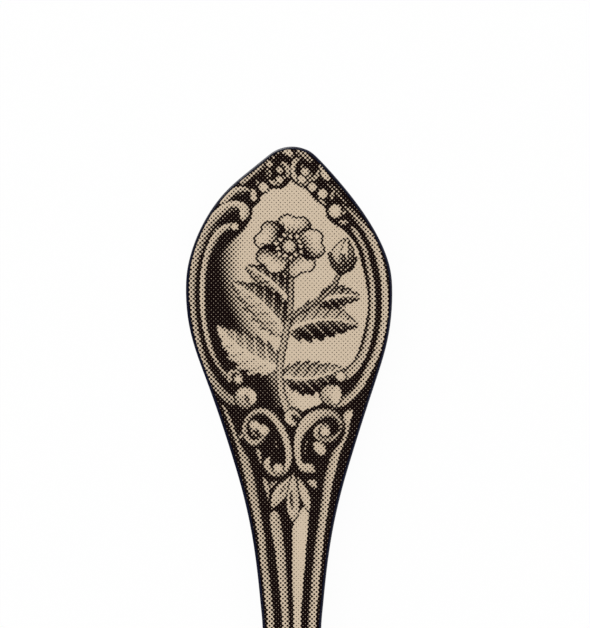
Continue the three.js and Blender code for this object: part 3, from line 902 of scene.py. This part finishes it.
# The palmette in which the stem's middle ribs end.
PALMETTE_RELIEF = 0.12
PALMETTE_OUTLINE = 1.6
PALMETTE = [
    [(246, 1580, 1.5, 0.4), (240, 1589, 3.4, 0.3), (246, 1598, 4, 0.26), (256, 1597, 4.6, 0.3),
     (267, 1586, 5.4, 0.34), (276, 1565, 5.6, 0.38), (281, 1540, 4.6, 0.4), (282, 1508, 3.8, 0.42)],
    [(338, 1580, 1.5, 0.5), (344, 1589, 3.4, 0.4), (338, 1598, 4, 0.34), (328, 1597, 4.6, 0.32),
     (317, 1586, 5.4, 0.3), (308, 1565, 5.6, 0.3), (303, 1540, 4.6, 0.28), (302, 1508, 3.8, 0.3)],
    [(285, 1552, 1, 0.5), (279, 1590, 5, 0.42), (270, 1622, 6.5, 0.36), (256, 1646, 1.2, 0.45)],
    [(299, 1552, 1, 0.4), (305, 1590, 5, 0.3), (314, 1622, 6.5, 0.28), (328, 1646, 1.2, 0.45)],
    [(292, 1506, 3, 0.2), (292, 1540, 5.5, 0.14), (292, 1580, 8, 0.12), (292, 1622, 10, 0.14),
     (292, 1660, 6.5, 0.22), (292, 1684, 1, 0.4)],
]
PALMETTE_BEADS = [
    (248.5, 1588, 4.2, 0.1), (335.5, 1588, 4.2, 0.1), (292, 1697, 5, 0.08), (292, 1711, 3, 0.14),
]


def rim_gaps(piece):
    """How far each vertex lies from the edge of the printed face, apart from its cut end, in pixels."""
    points = piece.data.vertices
    normals = face_centres(piece)[1]
    face_points = set()
    wall_points = set()
    for face, facing in zip(piece.data.polygons, normals[:, 2]):
        (face_points if facing > WALL_FACING else wall_points).update(face.vertices)
    cut_end = max(point.co.y for point in points) - CUT_END_DEPTH
    rim = [points[i].co for i in face_points & wall_points if points[i].co.y < cut_end]
    tree = KDTree(len(rim))
    for i, place in enumerate(rim):
        tree.insert(place, i)
    tree.balance()
    return np.array([tree.find(point.co)[2] for point in points]) / PIXEL


def paint_bowl(canvas, gaps, slopes):
    """The rails, the scallops and the polished hollow, from the light on the real bowl's walls."""
    everywhere = slice(None)
    facing = slopes @ SKY
    for middle, half, tone in RAILS:
        off = (gaps - middle) / half
        rounded = tone + BAND_ROUNDING * off * off - RAIL_RELIEF * facing
        lay(canvas, everywhere, half - np.abs(gaps - middle), rounded)
    away = (canvas[0] - BOWL_MIDDLE) / BOWL_ASPECT
    lobe = np.abs(np.sin(SCALLOPS / 2 * np.arctan2(away[:, 1], away[:, 0])))
    reach = SCALLOP_START + SCALLOP_DEPTH * (SCALLOP_HOLLOW + (1 - SCALLOP_HOLLOW) * lobe)
    swell = np.clip((gaps - SCALLOP_START) / (reach - SCALLOP_START), 0, 1)
    scalloped = SCALLOP_TONE + SCALLOP_FOLD_TONE * (1 - lobe) ** 2 + SCALLOP_EDGE_TONE * swell**3
    lay(canvas, everywhere, gaps - SCALLOP_START, scalloped)
    shade = smooth_step(-facing, *SHADE_SLOPES)
    gleam = np.exp(-(((facing - GLEAM_SLOPE) / GLEAM_SPREAD) ** 2))
    band = np.exp(-(((facing - BAND_SLOPE) / BAND_SPREAD) ** 2))
    polished = HOLLOW_TONE + SHADE_TONE * shade + GLEAM_TONE * gleam + BAND_TONE * band
    lay(canvas, everywhere, gaps - reach, polished, HOLLOW_OUTLINE)
    for points in PALMETTE:
        stroke(canvas, points, PALMETTE_RELIEF, outline=PALMETTE_OUTLINE)
    for values in PALMETTE_BEADS:
        ball(canvas, *values)


bowl_print = rounded_copy("bowl_foil", "bowl_print")
centres, normals = face_centres(bowl_print)
refine(bowl_print, normals[:, 2] > WALL_FACING, BOWL_CUTS)
spots = print_points(bowl_print)
slopes = np.empty(len(spots) * 3)
bowl_print.data.vertices.foreach_get("normal", slopes)
bowl_canvas = (spots, np.full(len(spots), DARK_TONE))
paint_bowl(bowl_canvas, rim_gaps(bowl_print), slopes.reshape(-1, 3)[:, :2])
keep_tone(bowl_print, bowl_canvas[1])
lay_out_map(bowl_print, [], BOWL_MAP_SIDE)
bowl_print.data.materials.append(foil)


# The table, the light and the camera
# A plain pale table, and soft daylight from the upper left with paler light from the other sides. A small
# skylight shines back from the rim at the tip, but nothing bright stands over the flat gloss itself. The
# camera looks straight down on the handle.

# The middle of the frame and its height, in the photograph's pixels. The sensor and lens are in millimetres.
FRAME_COLUMN = 295
FRAME_ROW = 314
FRAME_ROWS = 628
SENSOR = 24.0
LENS = 200.0
FACE_HEIGHT = 3.4e-3
TABLE_SIZE = 6.0
TABLE_GAP = 5e-5
WHITE = "ffffff"
TABLE_WHITE = "fafafa"
TABLE_GLOW = 0.96
ROOM_LIGHT = 0.06
LAMP_WATTS = 23.9
# Each lamp as place, size and share of the light.
LAMPS = {
    "window": ((-1.05, 1.1, 0.85), 1.8, 1.0),
    "right_wall": ((1.05, 0.15, 1.1), 1.7, 0.24),
    "near_wall": ((-0.2, -1.2, 0.8), 1.8, 0.5),
    "far_wall": ((0.6, 1.3, 0.7), 1.8, 0.35),
    "skylight": ((-0.22, 0.7, 1.55), 0.42, 0.18),
}


def table_finish():
    """Matt white paper, which stays white to the camera and still shows a faint shadow."""
    material, tree = new_material("white_paper")
    paper = add_node(tree, "ShaderNodeBsdfDiffuse", {"Color": linear(TABLE_WHITE)})
    glow = add_node(tree, "ShaderNodeEmission", {"Color": linear(WHITE), "Strength": 1})
    rays = add_node(tree, "ShaderNodeLightPath").outputs
    seen = add_node(
        tree,
        "ShaderNodeMath",
        {0: rays["Is Camera Ray"], 1: rays["Is Glossy Ray"]},
        operation="ADD",
    )
    watched = add_node(
        tree,
        "ShaderNodeMath",
        {0: seen.outputs[0], 1: rays["Is Transmission Ray"]},
        operation="ADD",
        use_clamp=True,
    )
    share = add_node(tree, "ShaderNodeMath", {0: watched.outputs[0], 1: TABLE_GLOW}, operation="MULTIPLY")
    surface = add_node(
        tree,
        "ShaderNodeMixShader",
        {0: share.outputs[0], 1: paper.outputs[0], 2: glow.outputs[0]},
    )
    add_node(tree, "ShaderNodeOutputMaterial", {"Surface": surface.outputs[0]})
    return material


bpy.ops.mesh.primitive_plane_add(size=TABLE_SIZE, location=(0, 0, -TABLE_GAP))
table = bpy.context.object
table.name = "table"
table.data.materials.append(table_finish())

world = bpy.data.worlds.new("studio")
bpy.context.scene.world = world
world.use_nodes = True
world.node_tree.nodes["Background"].inputs["Color"].default_value = linear(WHITE)
world.node_tree.nodes["Background"].inputs["Strength"].default_value = ROOM_LIGHT

aim = Vector((0, tip_y - (FRAME_ROW - TIP_ROW) * PIXEL, 0))
for name, (place, size, share) in LAMPS.items():
    lamp_data = bpy.data.lights.new(name, "AREA")
    lamp_data.size = size
    lamp_data.energy = LAMP_WATTS * share
    lamp = bpy.data.objects.new(name, lamp_data)
    lamp.location = place
    lamp.rotation_euler = (aim - Vector(place)).to_track_quat("-Z", "Y").to_euler()
    bpy.context.scene.collection.objects.link(lamp)

distance = LENS * FRAME_ROWS * PIXEL / SENSOR
camera_data = bpy.data.cameras.new("camera")
camera_data.sensor_fit = "VERTICAL"
camera_data.sensor_height = SENSOR
camera_data.lens = LENS
camera = bpy.data.objects.new("camera", camera_data)
camera.location = ((FRAME_COLUMN - CENTRE_COLUMN) * PIXEL, aim.y, FACE_HEIGHT + distance)
bpy.context.scene.collection.objects.link(camera)
bpy.context.scene.camera = camera
bpy.context.scene.view_settings.view_transform = "Standard"
